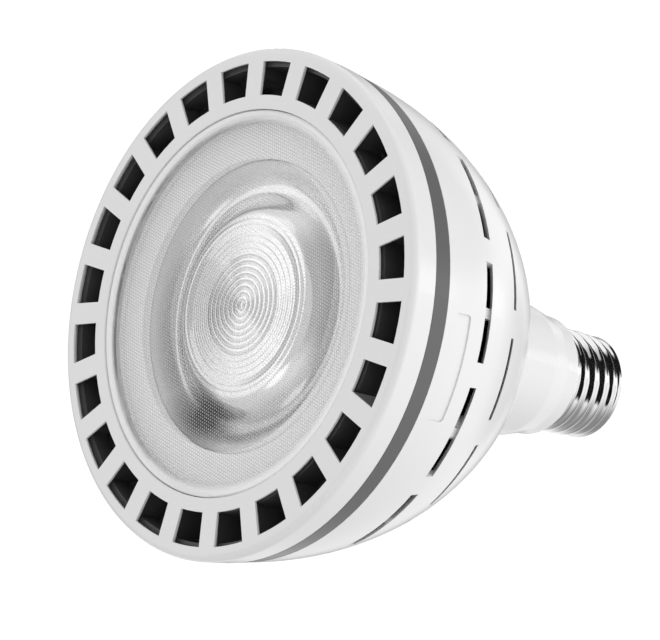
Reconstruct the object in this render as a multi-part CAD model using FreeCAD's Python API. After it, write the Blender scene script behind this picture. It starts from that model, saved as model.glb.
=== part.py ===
import FreeCAD
import Part
import math
import os

V = FreeCAD.Vector

# Vented LED reflector lamp, standing on its front ring.
# Z is the lamp's axis, Z = 0 is the flat front of the bezel and the base points up.
# All sizes are in millimetres. Outlines are drawn as radius and height, and spun about Z.

# Clearances
slide_clearance = 0.2
screw_clearance = 0.1
lead_clearance = 0.5
overcut = 1.0

# Front bezel
bezel_radius = 60.4
bezel_edge_round = 1.6
bezel_bore_round = 0.5
bezel_height = 7.2
bezel_draft = 0.7
bezel_wall = 1.5
face_thickness = 1.5
lip_thickness = 0.5
lip_width = 0.9
window_count = 24
window_length = 8.05
window_wall = 3.4
window_inner_width = 7.7
window_outer_width = 9.7
collar_wall = 1.3
collar_depth = 12.0
bead_height = 0.4
bead_length = 1.4

# Lens, its seal and the ledge that carries them
lens_to_windows = 3.5
lens_thickness = 2.0
lens_recess = 0.6
lens_rim_width = 1.3
lens_rim_rise = 0.3
lens_rim_round = 0.4
seal_thickness = 1.0
ledge_width = 1.6
ledge_thickness = 1.2

# Optic ring and collimator
ring_thickness = 1.5
ring_skirt = 1.5
ring_bore_round = 0.4
ring_skirt_round = 0.5
optic_margin = 10.95
optic_flange_width = 4.0
optic_flange_thickness = 1.2
optic_gap = 0.7
optic_depth = 19.9
optic_bow = 3.5
optic_throat_radius = 8.0
optic_cavity_radius = 6.3
optic_cavity_depth = 9.0
optic_cavity_taper = 0.6
optic_cavity_dome = 1.2
optic_cavity_round = 1.0
optic_ring_pitch = 1.25
optic_ring_depth = 0.5
optic_ring_slope_share = 0.8
optic_ring_margin = 2.9
optic_channel_rim = 0.5
optic_channel_width = 13.4
optic_channel_middle = 5.6
optic_channel_depth = 5.2
optic_channel_round = 4.0
optic_channel_edge_round = 0.4
optic_bead_width = 1.8
optic_bead_rise = 0.4
optic_bead_round = 0.6
holder_wall = 1.3
holder_clearance = 0.8

# Light source
emitter_gap = 0.7
emitter_radius = 5.5
emitter_thickness = 0.5
emitter_round = 0.2
package_side = 13.5
package_thickness = 0.9
package_mark = 1.2
board_radius = 12.7
board_thickness = 1.6
pad_thickness = 0.5

# Heat sink
floor_thickness = 4.0
dish_wall = 2.2
dish_foot = 1.0
rim_thickness = 3.0
rim_upstand = 2.5
upstand_wall = 1.8
upstand_round = 0.5
liner_wall = 1.35
hoop_wall = 0.8
hoop_length = 2.5
hoop_round = 0.3
fin_setback = 0.8
fin_shoulder_setback = 0.5
fin_shoulder_step = 1.9
drum_radius = 22.0
drum_wall = 2.6
drum_setback = 17.9
fin_count = 24
fin_thickness = 1.6
fin_to_bowl = 4.5

# Trim band
band_height = 5.3
band_draft = 0.9
band_edge_round = 0.3
tongue_length = 3.0
tongue_wall = 1.0
tongue_round = 0.4

# Bowl and neck. The bowl is an ellipse centred on the front face.
bowl_semi_length = 78.0
shell_wall = 2.0
flare_depth = 6.0
neck_step = 1.8
neck_taper = 0.3
neck_taper_round = 5.0
neck_length = 23.7
collar_length = 4.2
collar_flare = 6.0
collar_step = 0.3
collar_round = 4.0
shell_end_step = 1.75
shell_end_wall = 2.0
shell_end_round = 0.6
spigot_bore_length = 5.7

# Slots in the bowl, and the ribs behind the wide ones
slot_count = 12
slot_span = 24.0
slot_height = 2.2
slot_middle = 28.6
slot_tilt = 35.0
slot_reach = 8.0
fine_slot_span = 22.5
fine_slot_height = 1.0
fine_slot_middle = 42.5
slot_rib_width = 2.4
slot_rib_depth = 2.6

# Bare plate on the bowl's side
plate_width = 24.8
plate_height = 5.5
plate_middle = 18.8
plate_angle = 14.6
plate_depth = 0.4
plate_corner = 1.0

# Driver cup
cup_wall = 1.6
cup_bend = 3.0
cup_edge_round = 0.4
cup_to_bowl = 4.5
cup_shoulder_gap = 0.5
cup_shoulder_taper = 2.0
lid_thickness = 2.0
lid_depth = 2.7
wire_hole_radius = 1.6
wire_hole_offset = 9.0

# Screw base
thread_radius = 13.15
thread_depth = 0.8
thread_pitch = 3.63
thread_turns = 4
first_crest_offset = 4.5
crest_land = 0.5
crest_round = 0.5
root_round = 0.9
metal = 0.4
skirt_length = 1.6
skirt_start = 0.2
skirt_round = 0.4
curl_inset = 3.55
curl_rise = 2.7
curl_round = 1.0
spigot_gap = 3.2
insulator_gap = 0.45
insulator_depth = 3.2
insulator_edge_round = 0.4
insulator_tip_radius = 5.6
insulator_tip_round = 0.8
insulator_rise = 3.8
contact_radius = 4.8
contact_rise = 2.6
contact_edge = 0.8
rivet_radius = 1.6
rivet_bore = 0.7
rivet_length = 6.0

# Screws
head_ratio = 1.9
head_crown = 0.35
recess_ratio = 0.45
recess_depth = 0.5
shell_screw_radius = 1.5
shell_screw_length = 14.0
shell_screw_head = 1.8
shell_screw_inset = 7.4
shell_screw_angles = (30.0, 150.0, 270.0)
ear_radius = 3.5
ear_front = 20.0
ear_thickness = 5.0
boss_radius = 3.0
cup_screw_radius = 1.4
cup_screw_length = 11.0
cup_screw_head = 1.6
cup_screw_angles = (90.0, 210.0, 330.0)
cup_boss_radius = 2.6
cup_boss_length = 10.0
board_screw_radius = 1.2
board_screw_length = 5.5
board_screw_head = 1.3
board_screw_circle = 10.2
board_screw_angles = (0.0, 180.0)

# Driver board
pcb_thickness = 1.6
pcb_face = -3.2
pcb_gap = 1.9
pcb_step_setback = 4.0
pcb_edge_clearance = 0.3
lying_clearance = 0.1

# Transformer
core_setback = 5.0
core_length = 13.0
core_width = 17.0
core_height = 14.0
core_leg = 3.4
core_middle_leg = 4.4
core_lift = 0.8
winding_clearance = 0.1
bobbin_reach = 1.6
bobbin_flange = 1.2
bobbin_foot_width = 9.0

# Other parts on the driver board
side_part_offset = 13.4
side_part_setback = 10.0
neck_part_setback = 11.0
bulk_radius = 5.0
bulk_front_gap = 2.4
bulk_back_gap = 3.0
output_radius = 3.5
output_length = 10.0
can_foot_round = 0.4
can_top_round = 0.6
groove_height = 2.0
groove_radius = 0.5
groove_offset = 0.3
film_width = 9.0
film_height = 6.0
film_length = 9.0
film_offset = 2.5
film_round = 0.5
choke_radius = 3.5
choke_waist = 2.9
choke_flange = 1.4
choke_length = 8.4
choke_round = 0.3
resistor_radius = 1.6
resistor_length = 8.0
resistor_round = 0.6
resistor_offset = 5.6
bridge_width = 6.5
bridge_height = 2.4
bridge_length = 8.0
chip_width = 4.0
chip_height = 1.6
chip_length = 5.0
chip_setback = 8.0

# Leads
lead_radius = 0.5
lead_bend = 0.9
led_lead_spread = 0.75
led_pad_offset = 3.0
lead_on_board = 1.0
contact_lead_run = 1.5
contact_lead_rise = 2.2
contact_lead_gap = 0.3
base_lead_bend = 3.0
rim_lead_bend = 1.6
rim_lead_run = 2.5
rim_lead_end = 1.7
rim_lead_offset = 4.0
rim_lead_radius = 7.0

# Heights that follow from the sizes above
lens_back = lens_recess + lens_thickness
ledge_front = lens_back + seal_thickness
ledge_back = ledge_front + ledge_thickness
ring_front = ledge_back + slide_clearance
flange_front = ring_front + ring_thickness
flange_back = flange_front + optic_flange_thickness
optic_front = lens_back + optic_gap
optic_throat = optic_front + optic_depth
source_front = optic_throat + emitter_gap
package_front = source_front + emitter_thickness
board_front = package_front + package_thickness
pad_front = board_front + board_thickness
floor_front = pad_front + pad_thickness
floor_back = floor_front + floor_thickness
drum_end = bowl_semi_length - drum_setback
rim_back = collar_depth + rim_thickness
band_start = bezel_height
band_end = bezel_height + band_height
ear_back = ear_front + ear_thickness
sink_front = face_thickness + slide_clearance
hoop_step = band_start - tongue_length - slide_clearance
hoop_end = hoop_step + hoop_length
shell_end = bowl_semi_length + neck_length
collar_start = shell_end - collar_length
spigot_bore_start = shell_end - spigot_bore_length
cup_shoulder = spigot_bore_start - cup_shoulder_gap
lid_back = floor_back + lid_depth + lid_thickness
first_crest = shell_end + first_crest_offset
last_crest = first_crest + (thread_turns - 1) * thread_pitch
curl_end = last_crest + curl_rise
curl_inside = curl_end - metal
insulator_front = curl_inside - insulator_depth
spigot_end = insulator_front - spigot_gap
contact_seat = curl_inside + insulator_rise
pcb_front = lid_back + pcb_gap
pcb_back = cup_shoulder - cup_shoulder_taper - lead_clearance
core_start = pcb_front + core_setback
side_part_height = pcb_front + side_part_setback
bulk_start = core_start + core_length + bobbin_reach + bulk_front_gap
neck_part_height = pcb_back - neck_part_setback
bulk_length = neck_part_height - bulk_back_gap - bulk_start

# Radii that follow from the sizes above
bezel_end_radius = bezel_radius - bezel_draft
bezel_inside = bezel_end_radius - bezel_wall
band_end_radius = bezel_end_radius - band_draft
bowl_semi_width = band_end_radius / math.sqrt(1 - (band_end / bowl_semi_length) ** 2)
inner_semi_length = bowl_semi_length - shell_wall
inner_semi_width = bowl_semi_width - shell_wall
middle_semi_length = bowl_semi_length - shell_wall / 2
middle_semi_width = bowl_semi_width - shell_wall / 2
shell_screw_circle = inner_semi_width - shell_screw_inset
window_outer_radius = bezel_radius - window_wall
window_inner_radius = window_outer_radius - window_length
lens_radius = window_inner_radius - lens_to_windows
lens_bore = lens_radius + slide_clearance
ledge_bore = lens_bore - ledge_width
collar_bore = lens_bore + 2 * slide_clearance
collar_outside = collar_bore + collar_wall
ring_outside = collar_bore - slide_clearance
upstand_bore = collar_outside + slide_clearance
upstand_outside = upstand_bore + upstand_wall + bead_height
optic_radius = lens_radius - optic_margin
optic_hole = optic_radius + slide_clearance
optic_channel_outside = optic_radius - optic_channel_rim
optic_channel_inside = optic_channel_outside - optic_channel_width
optic_ring_count = int((optic_channel_inside - optic_ring_margin) / optic_ring_pitch)
flange_radius = optic_radius + optic_flange_width
dish_radius = flange_radius + lead_clearance
liner_outside = upstand_bore + liner_wall
tongue_outside = bezel_inside - slide_clearance
tongue_inside = tongue_outside - tongue_wall
hoop_back_radius = tongue_inside - slide_clearance
hoop_bore = hoop_back_radius - hoop_wall
holder_foot_radius = board_radius + 2 * slide_clearance
drum_outside = drum_radius + drum_wall
cup_radius = drum_radius - lead_clearance
cup_bore = cup_radius - cup_wall
cup_screw_circle = cup_radius - cup_wall / 2 - cup_boss_radius
floor_radius = cup_screw_circle + head_ratio * cup_screw_radius + slide_clearance
shell_end_radius = thread_radius + shell_end_step
collar_radius = shell_end_radius + collar_step
neck_radius = collar_radius + neck_step
neck_bore = neck_radius - shell_wall
cup_neck_radius = neck_bore - 2 * slide_clearance
cup_neck_bore = cup_neck_radius - cup_wall
cup_straight_share = (cup_radius + cup_to_bowl) / inner_semi_width
cup_cone_share = (cup_neck_radius + cup_to_bowl) / inner_semi_width
thread_root = thread_radius - thread_depth
curl_radius = thread_radius - curl_inset
insulator_radius = thread_root - metal - insulator_gap
spigot_radius = thread_radius - metal - slide_clearance
spigot_root_radius = thread_root - metal - slide_clearance
spigot_inside = spigot_root_radius - cup_wall
spigot_bore = shell_end_radius - shell_end_wall
cup_collar_radius = spigot_bore - slide_clearance

# Heights at which the cup has to narrow, as the bowl closes in on it
cup_straight_end = inner_semi_length * math.sqrt(1 - cup_straight_share**2)
cup_cone_end = inner_semi_length * math.sqrt(1 - cup_cone_share**2)
pcb_step = cup_straight_end - pcb_step_setback


def point(radius, height):
    return V(radius, 0, height)


def line(start, end):
    return Part.LineSegment(start, end).toShape()


def rounded_path(corners):
    """Edges through (radius, height, round) corners. A round of 0 leaves the corner sharp."""
    edges = []
    here = point(*corners[0][:2])
    for before, corner, after in zip(corners, corners[1:], corners[2:]):
        at = point(*corner[:2])
        if corner[2]:
            back = (point(*before[:2]) - at).normalize()
            ahead = (point(*after[:2]) - at).normalize()
            half = back.getAngle(ahead) / 2
            reach = corner[2] / math.tan(half)
            middle = (back + ahead).normalize() * (corner[2] / math.sin(half) - corner[2])
            edges.append(line(here, at + back * reach))
            edges.append(Part.Arc(at + back * reach, at + middle, at + ahead * reach).toShape())
            here = at + ahead * reach
        else:
            edges.append(line(here, at))
            here = at
    edges.append(line(here, point(*corners[-1][:2])))
    return edges


def spin(edges):
    face = Part.Face(Part.Wire(Part.__sortEdges__(edges)))
    return face.revolve(V(0, 0, 0), V(0, 0, 1), 360)


def spun(corners):
    """A solid of revolution from a closed outline of (radius, height, round) corners."""
    return spin(rounded_path(list(corners) + [corners[0]]))


def tube(outside, inside, start, end):
    body = Part.makeCylinder(outside, end - start, V(0, 0, start))
    if not inside:
        return body
    return body.cut(Part.makeCylinder(inside, end - start, V(0, 0, start)))


def rod(x, y, start, end, radius):
    return Part.makeCylinder(radius, end - start, V(x, y, start))


def box(x, y, z, width, depth, height):
    """A box centred on x, standing on y and z."""
    return Part.makeBox(width, depth, height, V(x - width / 2, y, z))


def turned(shape, angle):
    copy = shape.copy()
    copy.rotate(V(0, 0, 0), V(0, 0, 1), angle)
    return copy


def around(shape, count, first=0.0):
    return [turned(shape, first + 360.0 * i / count) for i in range(count)]


def on_circle(radius, angle):
    return radius * math.cos(math.radians(angle)), radius * math.sin(math.radians(angle))


def edges_at(shape, height):
    return [e for e in shape.Edges if abs(e.CenterOfMass.z - height) < 1e-6]


def ellipse_radius(length, width, height):
    return width * math.sqrt(1 - (height / length) ** 2)


def ellipse_height(length, width, radius):
    return length * math.sqrt(1 - (radius / width) ** 2)


def on_ellipse(length, width, height):
    return point(ellipse_radius(length, width, height), height)


def ellipse_edge(length, width, start, end):
    """The stretch of an ellipse about the axis from one height to another."""
    curve = Part.Ellipse(point(0, length), point(width, 0), V(0, 0, 0))
    return curve.toShape(math.acos(end / length), math.acos(start / length))


def ellipse_strip(length, width, depth, start, end):
    """A closed outline between an ellipse and its inner neighbour, from one height to another."""
    return [
        ellipse_edge(length, width, start, end),
        ellipse_edge(length - depth, width - depth, start, end),
        line(on_ellipse(length, width, start), on_ellipse(length - depth, width - depth, start)),
        line(on_ellipse(length, width, end), on_ellipse(length - depth, width - depth, end)),
    ]


def flare(length, width, start, radius):
    """A concave arc that leaves the ellipse at a height and runs out along a cylinder."""
    at = ellipse_radius(length, width, start)
    slope = math.atan(width**2 * start / (length**2 * at))
    bend = (at - radius) / (1 - math.cos(slope))
    end = start + bend * math.sin(slope)
    middle = point(
        radius + bend - bend * math.cos(slope / 2),
        end - bend * math.sin(slope / 2),
    )
    return Part.Arc(point(at, start), middle, point(radius, end)).toShape(), end


def bowed_circle(start, end, bow):
    """Centre and radius of the arc that swells outward between two points of an outline."""
    half = (end - start).Length / 2
    radius = (half**2 + bow**2) / (2 * bow)
    along = (end - start).normalize()
    outward = V(along.z, 0, -along.x)
    return (start + end) * 0.5 + outward * (bow - radius), radius


def arc_about(centre, radius, start, end):
    """The arc about a centre between two points that lie on it."""
    middle = centre + ((start + end) * 0.5 - centre).normalize() * radius
    return Part.Arc(start, middle, end).toShape()


def wire_run(points, radius, bend):
    """A round wire along straight runs that tangent arcs join."""
    edges = []
    here = V(*points[0])
    for before, corner, after in zip(points, points[1:], points[2:]):
        at = V(*corner)
        back = (V(*before) - at).normalize()
        ahead = (V(*after) - at).normalize()
        half = back.getAngle(ahead) / 2
        reach = bend / math.tan(half)
        middle = (back + ahead).normalize() * (bend / math.sin(half) - bend)
        edges.append(line(here, at + back * reach))
        edges.append(Part.Arc(at + back * reach, at + middle, at + ahead * reach).toShape())
        here = at + ahead * reach
    edges.append(line(here, V(*points[-1])))
    path = Part.Wire(edges)
    start = V(*points[0])
    heading = (V(*points[1]) - start).normalize()
    section = Part.Wire(Part.makeCircle(radius, start, heading))
    return path.makePipeShell([section], True, False)


def pan_screw(x, y, seat, shank_end, radius, head_height):
    """A screw whose crowned head stands on the front of its seat."""
    top = seat - head_height
    shank = rod(x, y, seat, shank_end, radius)
    cap = rod(x, y, top, seat, head_ratio * radius)
    cap = cap.makeFillet(head_crown * head_height, edges_at(cap, top))
    recess = rod(x, y, top, top + recess_depth * head_height, recess_ratio * radius)
    return cap.fuse(shank).removeSplitter().cut(recess)


def window(margin, start):
    """Cutter for one window, grown by a margin: arcs inside and outside, sides opening outward."""
    near = window_inner_radius - margin
    far = window_outer_radius + margin
    inner = math.asin((window_inner_width / 2 + margin) / near)
    outer = math.asin((window_outer_width / 2 + margin) / far)

    def at(radius, angle):
        return V(radius * math.cos(angle), radius * math.sin(angle), start)

    a, b = at(near, -inner), at(near, inner)
    c, d = at(far, outer), at(far, -outer)
    outline = Part.Wire(
        [
            Part.Arc(a, at(near, 0), b).toShape(),
            line(b, c),
            Part.Arc(c, at(far, 0), d).toShape(),
            line(d, a),
        ]
    )
    return Part.Face(outline).extrude(V(0, 0, face_thickness + overcut - start))


def front_bezel():
    """Face ring with thin lips round its windows, outer wall, and the collar for the lens."""
    bead_start = collar_depth - bead_length - slide_clearance
    bead_end = bead_start + bead_length
    bead_radius = collar_outside + bead_height
    body = spun(
        [
            (lens_bore, 0, bezel_bore_round),
            (bezel_radius, 0, bezel_edge_round),
            (bezel_end_radius, bezel_height, 0),
            (bezel_inside, bezel_height, 0),
            (bezel_inside, face_thickness, 0),
            (collar_outside, face_thickness, 0),
            (collar_outside, bead_start, 0),
            (bead_radius, bead_start + bead_height, 0),
            (bead_radius, bead_end - bead_height, 0),
            (collar_outside, bead_end, 0),
            (collar_outside, collar_depth, 0),
            (collar_bore, collar_depth, 0),
            (collar_bore, ledge_back, 0),
            (ledge_bore, ledge_back, 0),
            (ledge_bore, ledge_front, 0),
            (lens_bore, ledge_front, 0),
        ]
    )
    first = 180.0 / window_count
    openings = around(window(0, -overcut), window_count, first)
    pockets = around(window(lip_width, lip_thickness), window_count, first)
    return body.cut(openings + pockets)


def lens_cover():
    """Clear disc with a raised rounded rim on its front."""
    rim_front = lens_recess - lens_rim_rise
    rim_bore = lens_radius - lens_rim_width
    return spun(
        [
            (0, lens_recess, 0),
            (rim_bore - lens_rim_rise, lens_recess, 0),
            (rim_bore, rim_front, 0),
            (lens_radius, rim_front, lens_rim_round),
            (lens_radius, lens_back, 0),
            (0, lens_back, 0),
        ]
    )


def lens_seal():
    return tube(lens_radius, ledge_bore + slide_clearance, lens_back, ledge_front)


def optic_ring():
    """White ring behind the outer part of the lens, with a skirt down to the heat sink."""
    return spun(
        [
            (optic_hole, ring_front, ring_bore_round),
            (ring_outside, ring_front, 0),
            (ring_outside, collar_depth, 0),
            (ring_outside - ring_skirt, collar_depth, 0),
            (ring_outside - ring_skirt, flange_front, ring_skirt_round),
            (optic_hole, flange_front, 0),
        ]
    )


def optic_flank():
    """Centre and radius of the collimator's bowed flank."""
    shoulder = point(optic_radius, flange_back)
    return bowed_circle(shoulder, point(optic_throat_radius, optic_throat), optic_bow)


def collimator():
    """Clear optic: ringed front in a channel, bowed flank, and a cavity over the source."""
    cavity_top = optic_throat - optic_cavity_depth
    crest = optic_ring_slope_share * optic_ring_pitch
    bead_start = optic_channel_inside - optic_bead_width
    bead_slope = optic_bead_width / 4
    bead_front = optic_front - optic_bead_rise
    channel_middle = optic_channel_outside - optic_channel_middle
    rings = []
    for i in range(optic_ring_count):
        radius = (i + 0.5) * optic_ring_pitch
        rings.append((radius + crest, optic_front + optic_ring_depth, 0))
        rings.append((radius + optic_ring_pitch, optic_front, 0))
    front = rounded_path(
        [(0, optic_front, 0), (optic_ring_pitch / 2, optic_front, 0)]
        + rings
        + [
            (bead_start, optic_front, 0),
            (bead_start + bead_slope, bead_front, optic_bead_round),
            (optic_channel_inside - bead_slope, bead_front, optic_bead_round),
            (optic_channel_inside, optic_front, 0),
            (channel_middle, optic_front + optic_channel_depth, optic_channel_round),
            (optic_channel_outside, optic_front, optic_channel_edge_round),
            (optic_radius, optic_front, 0),
            (optic_radius, flange_front, 0),
            (flange_radius, flange_front, 0),
            (flange_radius, flange_back, 0),
            (optic_radius, flange_back, 0),
        ]
    )
    shoulder = point(optic_radius, flange_back)
    foot = point(optic_throat_radius, optic_throat)
    flank = arc_about(*optic_flank(), shoulder, foot)
    cavity = rounded_path(
        [
            (optic_throat_radius, optic_throat, 0),
            (optic_cavity_radius, optic_throat, 0),
            (optic_cavity_radius - optic_cavity_taper, cavity_top, optic_cavity_round),
            (0, cavity_top + optic_cavity_dome, 0),
            (0, optic_front, 0),
        ]
    )
    return spin(front + [flank] + cavity)


def optic_holder():
    """Dish-shaped holder: stands on the floor round the board and carries the optic's flange."""
    centre, flank_radius = optic_flank()
    inner = flank_radius + holder_clearance
    outer = inner + holder_wall
    seat_back = flange_back + holder_wall
    foot_outside = holder_foot_radius + holder_wall

    def at_height(radius, height):
        return point(centre.x + math.sqrt(radius**2 - (height - centre.z) ** 2), height)

    def at_radius(radius, place):
        return point(place, centre.z + math.sqrt(radius**2 - (place - centre.x) ** 2))

    inner_top, inner_foot = at_height(inner, flange_back), at_radius(inner, holder_foot_radius)
    outer_top, outer_foot = at_height(outer, seat_back), at_radius(outer, foot_outside)
    return spin(
        [
            line(inner_top, point(flange_radius, flange_back)),
            line(point(flange_radius, flange_back), point(flange_radius, seat_back)),
            line(point(flange_radius, seat_back), outer_top),
            arc_about(centre, outer, outer_top, outer_foot),
            line(outer_foot, point(foot_outside, floor_front)),
            line(point(foot_outside, floor_front), point(holder_foot_radius, floor_front)),
            line(point(holder_foot_radius, floor_front), inner_foot),
            arc_about(centre, inner, inner_foot, inner_top),
        ]
    )


def led_emitter():
    disc = tube(emitter_radius, 0, source_front, package_front)
    return disc.makeFillet(emitter_round, edges_at(disc, source_front))


def led_package():
    """Square ceramic carrier with one corner cut as its mark."""
    half = package_side / 2
    plate = box(0, -half, package_front, package_side, package_side, package_thickness)
    corner = V(half, half, package_front + package_thickness / 2)
    mark = [e for e in plate.Edges if e.CenterOfMass.distanceToPoint(corner) < 1e-6]
    return plate.makeChamfer(package_mark, mark)


def board_holes(start, end):
    """Drillings that the board, the pad and the floor share."""
    holes = [rod(0, wire_hole_offset, start, end, wire_hole_radius)]
    for angle in board_screw_angles:
        x, y = on_circle(board_screw_circle, angle)
        holes.append(rod(x, y, start, end, board_screw_radius + screw_clearance))
    return holes


def led_board():
    return tube(board_radius, 0, board_front, pad_front).cut(board_holes(board_front, pad_front))


def thermal_pad():
    disc = tube(board_radius - slide_clearance, 0, pad_front, floor_front)
    return disc.cut(board_holes(pad_front, floor_front))


def screw_group(circle, angles, seat, length, radius, head):
    screws = []
    for angle in angles:
        x, y = on_circle(circle, angle)
        screws.append(pan_screw(x, y, seat, seat + length, radius, head))
    return Part.makeCompound(screws)


def board_screws():
    return screw_group(
        board_screw_circle,
        board_screw_angles,
        board_front,
        board_screw_length,
        board_screw_radius,
        board_screw_head,
    )


def shell_screws():
    return screw_group(
        shell_screw_circle,
        shell_screw_angles,
        ear_front,
        shell_screw_length,
        shell_screw_radius,
        shell_screw_head,
    )


def cup_screws():
    return screw_group(
        cup_screw_circle,
        cup_screw_angles,
        floor_front,
        cup_screw_length,
        cup_screw_radius,
        cup_screw_head,
    )


def fin():
    """One fin: from the hoop behind the windows back along the bowl, inward to the dish."""
    length = inner_semi_length - fin_to_bowl
    width = inner_semi_width - fin_to_bowl
    start = collar_depth + rim_thickness / 2
    front = sink_front + fin_setback
    shoulder = band_end - fin_shoulder_setback
    foot = liner_outside - liner_wall / 2
    edge = hoop_bore + hoop_wall / 2
    root = drum_radius + drum_wall / 2
    outer = ellipse_edge(length, width, start, drum_end)
    inner = rounded_path(
        [
            (ellipse_radius(length, width, drum_end), drum_end, 0),
            (root, drum_end, 0),
            (root, floor_back - dish_foot, 0),
            (dish_radius + dish_wall, start, 0),
            (foot, start, 0),
            (foot, front, 0),
            (edge, front, 0),
            (edge, hoop_end, 0),
            (ellipse_radius(length, width, start) + fin_shoulder_step, shoulder, 0),
            (ellipse_radius(length, width, start), start, 0),
        ]
    )
    face = Part.Face(Part.Wire(Part.__sortEdges__([outer] + inner)))
    plate = face.extrude(V(0, fin_thickness, 0))
    plate.translate(V(0, -fin_thickness / 2, 0))
    return plate


def hoop():
    """Ring at the fins' front that lines the bezel's wall behind the windows."""
    return spun(
        [
            (hoop_bore, sink_front, hoop_round),
            (tongue_outside, sink_front, hoop_round),
            (tongue_outside, hoop_step, 0),
            (hoop_back_radius, hoop_step, 0),
            (hoop_back_radius, hoop_end, 0),
            (hoop_bore, hoop_end, 0),
        ]
    )


def heat_sink():
    """Dish for the optic, floor for the light source, drum for the driver cup, fins and hoop."""
    groove_start = collar_depth - bead_length - 2 * slide_clearance
    groove_end = collar_depth - slide_clearance / 2
    groove_bore = upstand_bore + bead_height
    body = spun(
        [
            (0, floor_front, 0),
            (floor_radius, floor_front, 0),
            (dish_radius, collar_depth, 0),
            (upstand_bore, collar_depth, 0),
            (groove_bore, groove_end, 0),
            (groove_bore, groove_start, 0),
            (upstand_bore, groove_start - bead_height, 0),
            (upstand_bore, sink_front, 0),
            (liner_outside, sink_front, hoop_round),
            (liner_outside, collar_depth - rim_upstand, 0),
            (upstand_outside, collar_depth - rim_upstand, upstand_round),
            (upstand_outside, rim_back, 0),
            (dish_radius + dish_wall, rim_back, 0),
            (drum_outside, floor_back - dish_foot, 0),
            (drum_outside, drum_end, 0),
            (drum_radius, drum_end, 0),
            (drum_radius, floor_back, 0),
            (0, floor_back, 0),
        ]
    )
    ears, holes, boss_room = [], [], []
    for angle in shell_screw_angles:
        x, y = on_circle(shell_screw_circle, angle)
        ears.append(rod(x, y, ear_front, ear_back, ear_radius))
        holes.append(rod(x, y, ear_front, ear_back, shell_screw_radius + screw_clearance))
        holes.append(rod(x, y, 0, ear_front, head_ratio * shell_screw_radius + lead_clearance))
        boss_room.append(rod(x, y, ear_back, drum_end, boss_radius + lead_clearance))
    body = body.fuse(around(fin(), fin_count) + [hoop()]).cut(boss_room)
    body = body.fuse(ears).cut(holes)
    floor_holes = board_holes(floor_front, floor_back)
    for angle in cup_screw_angles:
        x, y = on_circle(cup_screw_circle, angle)
        floor_holes.append(rod(x, y, floor_front, floor_back, cup_screw_radius + screw_clearance))
    return body.cut(floor_holes).removeSplitter()


def trim_band():
    """Grey band with a tongue under the bezel wall and one under the bowl's edge."""
    back = band_end + tongue_length
    back_tongue = ellipse_radius(inner_semi_length, inner_semi_width, back) - slide_clearance
    back_inside = back_tongue - tongue_wall
    return spun(
        [
            (tongue_inside, band_start - tongue_length, 0),
            (tongue_outside, band_start - tongue_length, tongue_round),
            (tongue_outside, band_start, 0),
            (bezel_end_radius, band_start, band_edge_round),
            (band_end_radius, band_end, band_edge_round),
            (back_tongue, band_end, 0),
            (back_tongue, back, tongue_round),
            (back_inside, back, 0),
            (back_inside, band_end, 0),
            (tongue_inside, band_start, 0),
        ]
    )


def bowl_wall(start):
    """The bowl and neck as one wall."""
    outer_start = bowl_semi_length - flare_depth
    inner_start = inner_semi_length - flare_depth
    outer_bowl = ellipse_edge(bowl_semi_length, bowl_semi_width, start, outer_start)
    outer_flare, outer_end = flare(bowl_semi_length, bowl_semi_width, outer_start, neck_radius)
    inner_bowl = ellipse_edge(inner_semi_length, inner_semi_width, start, inner_start)
    inner_flare, inner_end = flare(inner_semi_length, inner_semi_width, inner_start, neck_bore)
    neck = rounded_path(
        [
            (neck_radius, outer_end, 0),
            (neck_radius - neck_taper, collar_start - collar_flare, neck_taper_round),
            (collar_radius, collar_start, collar_round),
            (shell_end_radius, shell_end, shell_end_round),
            (spigot_bore, shell_end, 0),
            (spigot_bore, spigot_bore_start, 0),
            (neck_bore, spigot_bore_start - (neck_bore - spigot_bore), 0),
            (neck_bore, inner_end, 0),
        ]
    )
    rim = line(
        on_ellipse(bowl_semi_length, bowl_semi_width, start),
        on_ellipse(inner_semi_length, inner_semi_width, start),
    )
    return spin([rim, outer_bowl, outer_flare, inner_bowl, inner_flare] + neck)


def slot_cutter(middle, height, span):
    """A slot through the wall that runs round the lamp and leans back inward."""
    at = ellipse_radius(bowl_semi_length, bowl_semi_width, middle)
    outside = bowl_semi_width + overcut
    inside = at - slot_reach
    lean = math.tan(math.radians(slot_tilt))
    corners = [
        (outside, middle - height / 2 - (outside - at) * lean, 0),
        (outside, middle + height / 2 - (outside - at) * lean, 0),
        (inside, middle + height / 2 + (at - inside) * lean, 0),
        (inside, middle - height / 2 + (at - inside) * lean, 0),
    ]
    face = Part.Face(Part.Wire(rounded_path(corners + corners[:1])))
    return turned(face.revolve(V(0, 0, 0), V(0, 0, 1), span), -span / 2)


def slot_rib():
    """A rib on the inside of the bowl that crosses behind a wide slot."""
    reach = slot_middle - ear_back - 2 * slide_clearance
    outline = ellipse_strip(
        middle_semi_length,
        middle_semi_width,
        shell_wall / 2 + slot_rib_depth,
        slot_middle - reach,
        slot_middle + reach,
    )
    rib = Part.Face(Part.Wire(Part.__sortEdges__(outline))).extrude(V(0, slot_rib_width, 0))
    rib.translate(V(0, -slot_rib_width / 2, 0))
    return rib


def shell_boss(angle):
    """A boss that grows out of the bowl's inside and takes a screw from the front."""
    x, y = on_circle(shell_screw_circle, angle)
    near_side = shell_screw_circle - boss_radius
    end = ellipse_height(inner_semi_length, inner_semi_width, near_side) + shell_wall / 2
    core = spin(
        [
            ellipse_edge(middle_semi_length, middle_semi_width, ear_back, end),
            line(on_ellipse(middle_semi_length, middle_semi_width, end), point(0, end)),
            line(point(0, end), point(0, ear_back)),
            line(point(0, ear_back), on_ellipse(middle_semi_length, middle_semi_width, ear_back)),
        ]
    )
    return rod(x, y, ear_back, end, boss_radius).common(core)


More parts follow.
